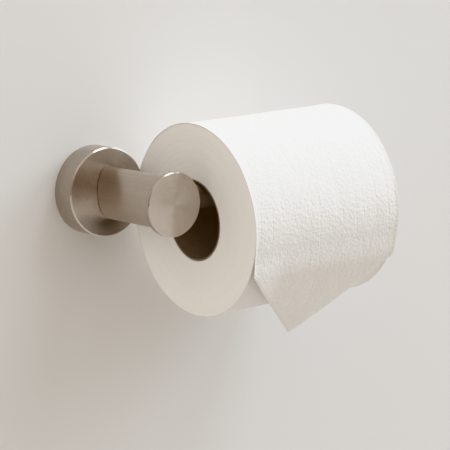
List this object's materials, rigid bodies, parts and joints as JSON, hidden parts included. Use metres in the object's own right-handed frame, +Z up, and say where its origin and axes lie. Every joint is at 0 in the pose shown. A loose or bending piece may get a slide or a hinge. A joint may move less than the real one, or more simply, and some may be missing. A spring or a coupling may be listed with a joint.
{
  "type": "toilet paper holder",
  "caption": "Single-post wall-held toilet paper holder: round flange, flat elliptical post with a round end cap, and one open round arm carrying a loaded roll.",
  "frame": {"origin": "centre of the wall flange, on the wall's face", "axes": "+X along the arm towards its open end, +Y into the wall, +Z up; the post and its cap stand out towards -Y"},
  "size_m": [0.168, 0.1443, 0.1224],
  "materials": {
    "brushed_nickel": "satin",
    "zinc_plated_steel": "satin",
    "steel_black": "matte",
    "nylon": "matte",
    "core_board": "matte",
    "tissue": "matte"
  },
  "bodies": {
    "holder": {"flange": "brushed_nickel", "wall_bracket": "zinc_plated_steel", "bracket_screws": "zinc_plated_steel", "wall_anchors": "nylon", "set_screw": "steel_black", "post": "brushed_nickel", "post_screws": "steel_black", "post_washers": "zinc_plated_steel", "end_cap": "brushed_nickel", "arm_tube": "brushed_nickel", "arm_insert": "zinc_plated_steel", "arm_stud": "zinc_plated_steel", "arm_end_cap": "brushed_nickel"},
    "core": {"paper_core": "core_board"},
    "paper": {"paper_roll": "tissue", "paper_tail": "tissue"}
  },
  "joints": [
    {"name": "roll_off", "type": "slide", "parent": "holder", "child": "core", "axis": [1, 0, 0], "range_m": [0, 0.12]},
    {"name": "roll_spin", "type": "hinge", "parent": "core", "child": "paper", "pos_m": [0.077, -0.059, -0.01395], "axis": [1, 0, 0], "continuous": true}
  ]
}
